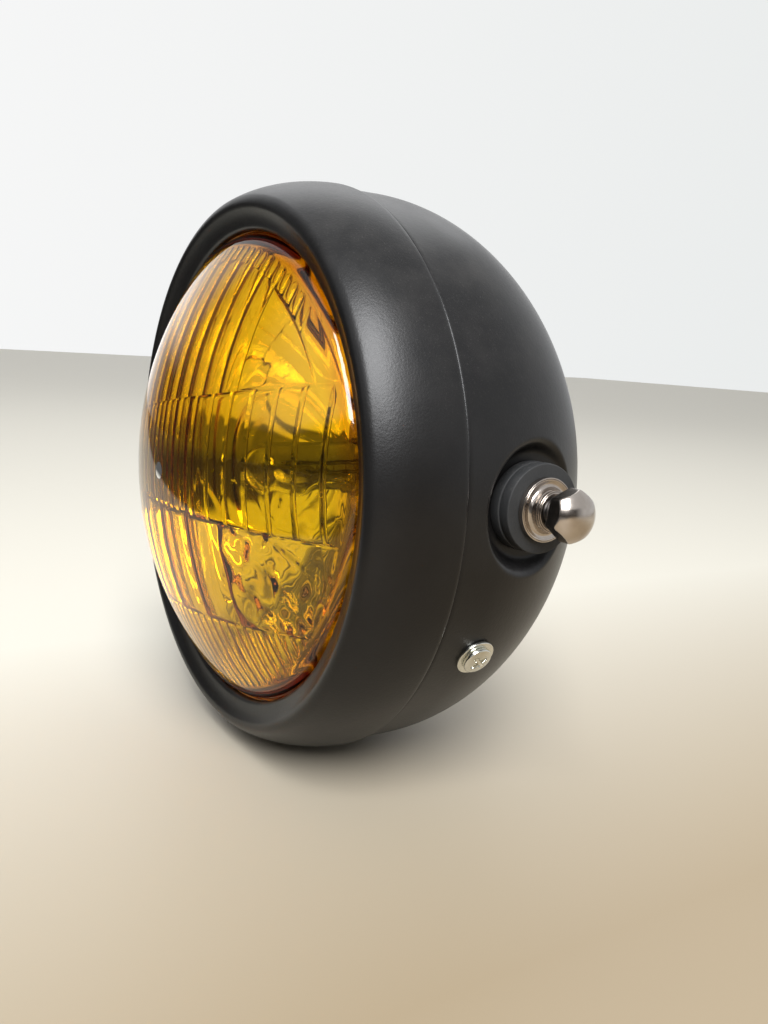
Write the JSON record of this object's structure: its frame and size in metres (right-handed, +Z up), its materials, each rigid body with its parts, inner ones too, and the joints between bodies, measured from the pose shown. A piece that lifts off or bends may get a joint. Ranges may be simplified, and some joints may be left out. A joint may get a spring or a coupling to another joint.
{
  "type": "round motorcycle headlight",
  "caption": "Round side-mounted motorcycle headlight: black steel bucket and trim ring, fluted amber glass lens, reflector with halogen bulb, side bolts in pressed recesses.",
  "frame": {"origin": "the centre of the whole headlight's box, on the optical axis; the side-bolt axis crosses the optical axis 6.2 mm behind it", "axes": "+X along the side bolts towards the rider's left, +Y along the optical axis from the lens to the back of the bucket, +Z up; the lens faces -Y"},
  "size_m": [0.2062, 0.137, 0.18],
  "materials": {
    "black_paint": "satin black paint with a fine texture",
    "amber_glass": "amber yellow, moulded flutes inside, smooth outside",
    "rubber": "matt black",
    "washer_rubber": "matt dark grey with a fine grain",
    "mirror_coat": "vacuum coated reflector",
    "spring_steel": "bright spring steel",
    "zinc_steel": "dull zinc plate",
    "bright_zinc": "bright zinc plate",
    "nickel": "polished nickel plate, slightly warm",
    "clear_glass": "clear quartz",
    "tungsten": "grey wire",
    "bulb_metal": "dull nickel plate",
    "terminal_brass": "bright",
    "black_plastic": "moulded, matt"
  },
  "bodies": {
    "root": {"bucket_shell": "black_paint", "trim_ring": "black_paint", "lens": "amber_glass", "lens_gasket": "rubber", "reflector": "mirror_coat", "unit_clips": "spring_steel", "ring_hook": "zinc_steel", "bulb_glass": "clear_glass", "bulb_filaments": "tungsten", "bulb_shield": "bulb_metal", "bulb_base": "bulb_metal", "bulb_terminals": "terminal_brass", "bulb_clip": "spring_steel", "dust_boot": "rubber", "bulb_connector": "black_plastic", "wiring_grommet": "rubber", "side_bolt_left": "nickel", "side_bolt_right": "nickel", "bolt_collar_left": "nickel", "bolt_collar_right": "nickel", "outer_rubber_left": "washer_rubber", "outer_rubber_right": "washer_rubber", "inner_rubber_left": "washer_rubber", "inner_rubber_right": "washer_rubber", "nut_plate_left": "zinc_steel", "nut_plate_right": "zinc_steel", "mount_nut_left": "zinc_steel", "mount_nut_right": "zinc_steel", "ring_screw_left": "bright_zinc", "ring_screw_right": "bright_zinc", "ring_washer_left": "bright_zinc", "ring_washer_right": "bright_zinc", "ring_bracket_left": "zinc_steel", "ring_bracket_right": "zinc_steel", "ring_nut_left": "zinc_steel", "ring_nut_right": "zinc_steel"}
  },
  "joints": []
}
